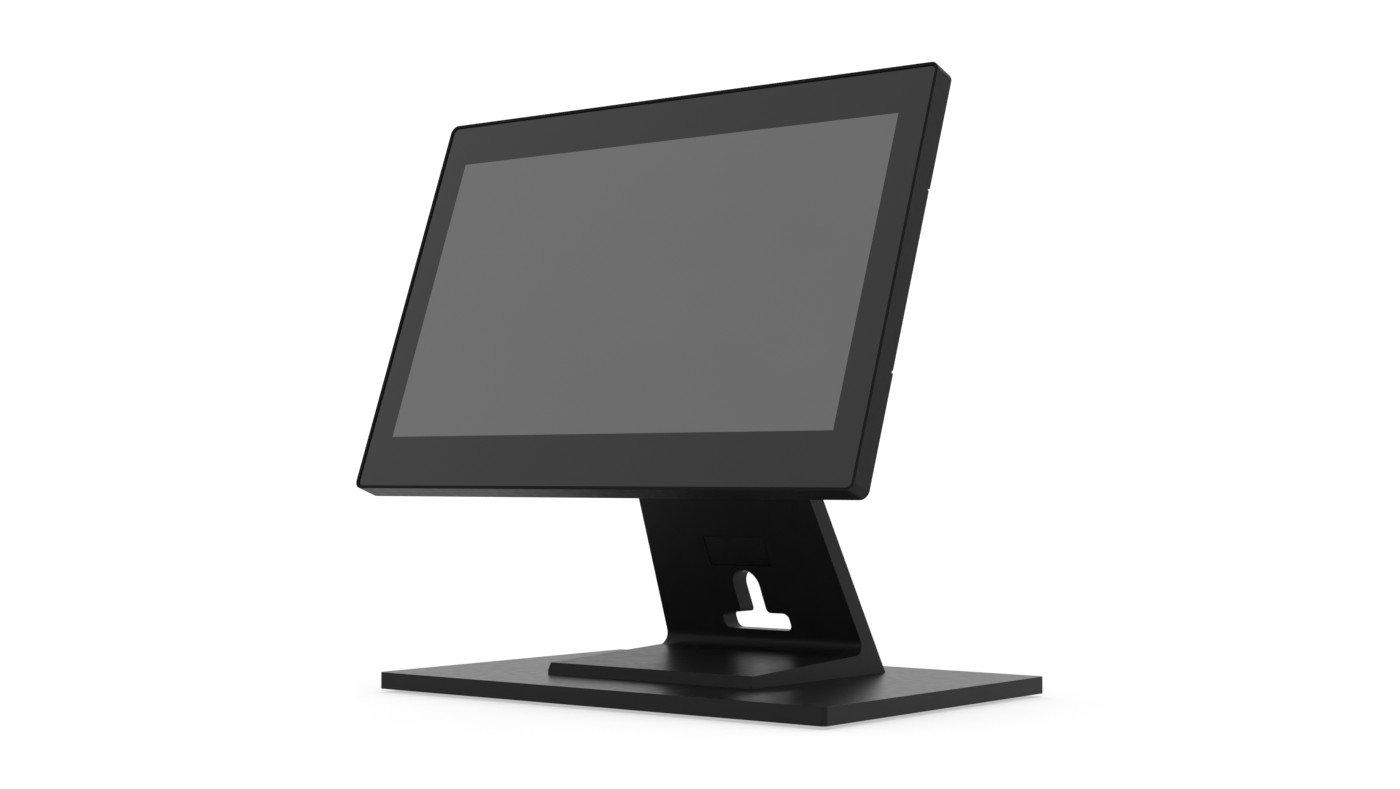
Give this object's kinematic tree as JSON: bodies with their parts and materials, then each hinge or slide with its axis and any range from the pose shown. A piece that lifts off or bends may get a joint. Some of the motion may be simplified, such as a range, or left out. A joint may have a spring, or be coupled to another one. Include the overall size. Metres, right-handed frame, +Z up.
{
  "type": "touchscreen kiosk",
  "caption": "Countertop touchscreen kiosk: a wide touch display that tilts on a leaning cast neck with a cable hole, on a flat weighted base plate.",
  "frame": {"origin": "on the supporting surface, under the middle of the base plate", "axes": "+Z up, +X along the display's width, the screen looks towards -Y"},
  "size_m": [0.3874, 0.239, 0.3729],
  "materials": {
    "base_steel": "satin",
    "foot_rubber": "matte",
    "screw_steel": "satin",
    "cast_arm": "satin",
    "badge_metal": "satin",
    "bush_bronze": "satin",
    "black_plastic": "satin",
    "bracket_steel": "satin",
    "clear_glass": "polished",
    "border_ink": "gloss",
    "gasket_foam": "matte",
    "sensor_glass": "polished",
    "display_glass": "satin",
    "tray_metal": "satin",
    "zinc_steel": "satin",
    "board_green": "satin",
    "chip_black": "satin",
    "sink_aluminium": "satin",
    "ribbon_film": "satin",
    "speaker_plastic": "matte",
    "antenna_film": "matte",
    "inlet_plastic": "satin",
    "socket_metal": "satin",
    "port_rubber": "matte",
    "switch_plastic": "satin",
    "button_plastic": "satin"
  },
  "bodies": {
    "stand": {"base_plate": "base_steel", "rubber_feet": "foot_rubber", "base_screws": "screw_steel", "stand_arm": "cast_arm", "badge_plate": "badge_metal", "hinge_bushes": "bush_bronze"},
    "head": {"antennas": "antenna_film", "backlight_tray": "tray_metal", "black_border": "border_ink", "board_parts": "chip_black", "board_screws": "screw_steel", "bracket_screws": "screw_steel", "bracket_standoffs": "screw_steel", "button_switch": "switch_plastic", "chassis_plate": "zinc_steel", "chassis_screws": "screw_steel", "cover_glass": "clear_glass", "cover_screws": "screw_steel", "display_cell": "display_glass", "front_bezel": "black_plastic", "glass_gasket": "gasket_foam", "heat_sink": "sink_aluminium", "hinge_caps": "black_plastic", "hinge_nuts": "screw_steel", "hinge_shaft": "screw_steel", "hinge_washers": "screw_steel", "main_board": "board_green", "network_socket": "socket_metal", "panel_ribbon": "ribbon_film", "port_covers": "port_rubber", "power_inlet": "inlet_plastic", "rear_cover": "black_plastic", "speakers": "speaker_plastic", "tilt_bracket": "bracket_steel", "touch_controller": "board_green", "touch_sensor": "sensor_glass", "usb_sockets": "socket_metal", "video_socket": "socket_metal"},
    "power_button": {"power_button": "button_plastic"}
  },
  "joints": [
    {"name": "head_tilt", "type": "hinge", "parent": "stand", "child": "head", "pos_m": [0, -0.02692, 0.2256], "axis": [-1, 0, 0], "range_deg": [-15, 40]},
    {"name": "button_press", "type": "slide", "parent": "head", "child": "power_button", "axis": [0, -0.9408, 0.3391], "range_m": [0, 0.0008], "stiffness_N_per_m": 1500}
  ]
}
